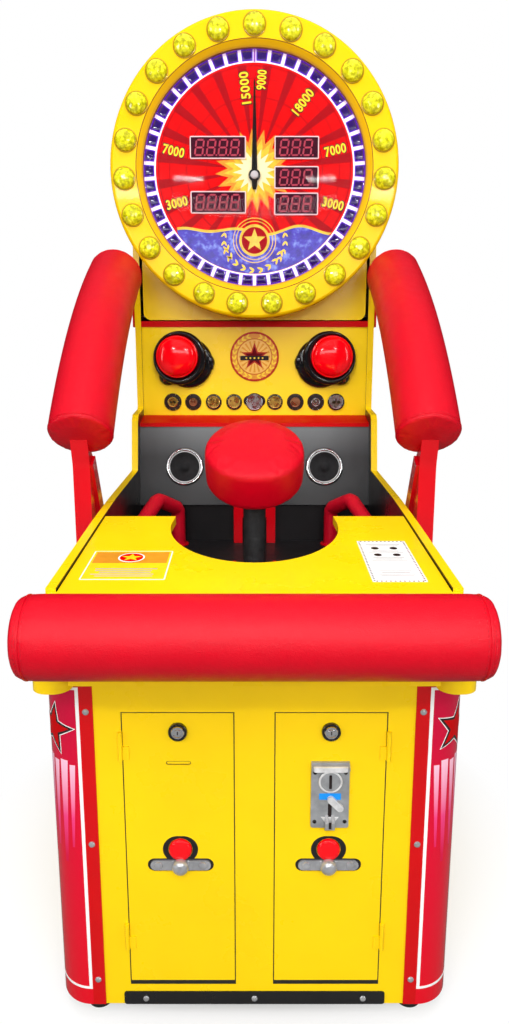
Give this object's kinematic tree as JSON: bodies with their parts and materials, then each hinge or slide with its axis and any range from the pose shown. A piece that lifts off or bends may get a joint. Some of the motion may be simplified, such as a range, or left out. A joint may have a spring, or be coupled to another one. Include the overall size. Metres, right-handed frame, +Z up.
{
  "type": "boxing arcade machine",
  "caption": "Boxing arcade machine with a punch pad on a swinging arm, a round lamp-ringed score dial, padded side guards and a padded front roll.",
  "frame": {"origin": "middle of the footprint, on the floor", "axes": "+Z up, -Y towards the player, +X to the player's right"},
  "size_m": [0.91, 1.531, 2.041],
  "materials": {
    "yellow_panel": "satin",
    "yellow_steel": "satin",
    "yellow_moulding": "gloss",
    "black_board": "matte",
    "black_steel": "satin",
    "grey_panel": "satin",
    "grey_steel": "satin",
    "red_trim": "gloss",
    "red_wrap": "gloss",
    "red_steel": "gloss",
    "red_vinyl": "satin",
    "red_foam": "satin",
    "red_button": "gloss",
    "zinc_steel": "satin",
    "chrome_trim": "polished",
    "cast_metal": "satin",
    "black_rubber": "matte",
    "black_sleeve": "matte",
    "lamp_plastic": "gloss",
    "white_diffuser": "satin",
    "dial_print": "gloss",
    "display_black": "gloss",
    "clear_dome": "clear",
    "needle_black": "gloss",
    "gloss_black": "gloss",
    "badge_metal": "satin",
    "speaker_black": "matte",
    "circuit_board": "satin"
  },
  "bodies": {
    "root": {"side_panel_left": "yellow_panel", "side_panel_right": "yellow_panel", "front_frame": "yellow_panel", "front_panel": "yellow_panel", "bottom_board": "black_board", "rear_panel": "black_board", "deck_panel": "yellow_panel", "roll_brackets": "yellow_panel", "well_floor": "black_board", "well_rear_wall": "black_board", "speaker_panel": "grey_panel", "trim_strips": "red_trim", "button_panel": "yellow_panel", "marquee_box": "yellow_panel", "corner_guards": "red_wrap", "kick_plate": "black_steel", "panel_screws": "zinc_steel", "levelling_feet": "black_rubber", "marquee_ring": "yellow_moulding", "ring_lamps": "lamp_plastic", "led_ring": "white_diffuser", "dial_plate": "dial_print", "score_displays": "display_black", "dial_lens": "clear_dome", "needle_motor": "zinc_steel", "glove_shells": "gloss_black", "badges": "badge_metal", "speaker_rings": "chrome_trim", "speakers": "speaker_black", "well_rail_left": "red_foam", "well_rail_right": "red_foam", "guard_frame_left": "red_steel", "guard_frame_right": "red_steel", "guard_pad_left": "red_vinyl", "guard_pad_right": "red_vinyl", "front_roll": "red_vinyl", "arm_bracket": "red_steel", "pivot_shaft": "zinc_steel", "torsion_units": "black_rubber", "rear_buffer": "red_steel", "control_board": "circuit_board", "power_supply": "zinc_steel", "cash_box": "grey_steel"},
    "arm": {"swing_arm": "black_sleeve", "target_pad": "red_vinyl"},
    "needle": {"needle": "needle_black"},
    "start_left": {"start_button_left": "red_button"},
    "start_right": {"start_button_right": "red_button"},
    "door_left": {"left_door": "yellow_steel", "left_fittings": "chrome_trim"},
    "lock_left": {"left_lock": "chrome_trim"},
    "button_left": {"left_door_button": "red_button"},
    "door_right": {"right_door": "yellow_steel", "right_fittings": "chrome_trim", "coin_acceptor": "cast_metal"},
    "lock_right": {"right_lock": "chrome_trim"},
    "button_right": {"right_door_button": "red_button"},
    "coin_lever": {"coin_lever": "chrome_trim"},
    "door_rear": {"rear_door": "black_steel"},
    "lock_rear": {"rear_lock": "chrome_trim"}
  },
  "joints": [
    {"name": "arm_swing", "type": "hinge", "parent": "root", "child": "arm", "pos_m": [0, -0.0245, 0.68], "axis": [-1, 0, 0], "range_deg": [0, 65]},
    {"name": "needle_turn", "type": "hinge", "parent": "root", "child": "needle", "pos_m": [0, 0.5275, 1.644], "axis": [0, 1, 0], "range_deg": [-150, 150]},
    {"name": "start_press_left", "type": "slide", "parent": "root", "child": "start_left", "axis": [0, 1, 0], "range_m": [0, 0.005], "stiffness_N_per_m": 800},
    {"name": "start_press_right", "type": "slide", "parent": "root", "child": "start_right", "axis": [0, 1, 0], "range_m": [0, 0.005], "stiffness_N_per_m": 800},
    {"name": "door_swing_left", "type": "hinge", "parent": "root", "child": "door_left", "pos_m": [-0.223, -0.5765, 0.384], "axis": [0, 0, -1], "range_deg": [0, 110]},
    {"name": "lock_turn_left", "type": "hinge", "parent": "door_left", "child": "lock_left", "pos_m": [-0.127, -0.5725, 0.567], "axis": [0, -1, 0], "range_deg": [0, 90]},
    {"name": "button_press_left", "type": "slide", "parent": "door_left", "child": "button_left", "axis": [0, 1, 0], "range_m": [0, 0.004], "stiffness_N_per_m": 500},
    {"name": "door_swing_right", "type": "hinge", "parent": "root", "child": "door_right", "pos_m": [0.223, -0.5765, 0.384], "axis": [0, 0, 1], "range_deg": [0, 110]},
    {"name": "lock_turn_right", "type": "hinge", "parent": "door_right", "child": "lock_right", "pos_m": [0.127, -0.5725, 0.567], "axis": [0, 1, 0], "range_deg": [0, 90]},
    {"name": "button_press_right", "type": "slide", "parent": "door_right", "child": "button_right", "axis": [0, 1, 0], "range_m": [0, 0.004], "stiffness_N_per_m": 500},
    {"name": "coin_lever_turn", "type": "hinge", "parent": "door_right", "child": "coin_lever", "pos_m": [0.136, -0.5725, 0.438], "axis": [0, -1, 0], "range_deg": [0, 30], "stiffness_Nm_per_rad": 0.2},
    {"name": "rear_door_swing", "type": "hinge", "parent": "root", "child": "door_rear", "pos_m": [0.204, 0.7615, 0.35], "axis": [0, 0, -1], "range_deg": [0, 110]},
    {"name": "rear_lock_turn", "type": "hinge", "parent": "door_rear", "child": "lock_rear", "pos_m": [-0.166, 0.7575, 0.35], "axis": [0, -1, 0], "range_deg": [0, 90]}
  ]
}
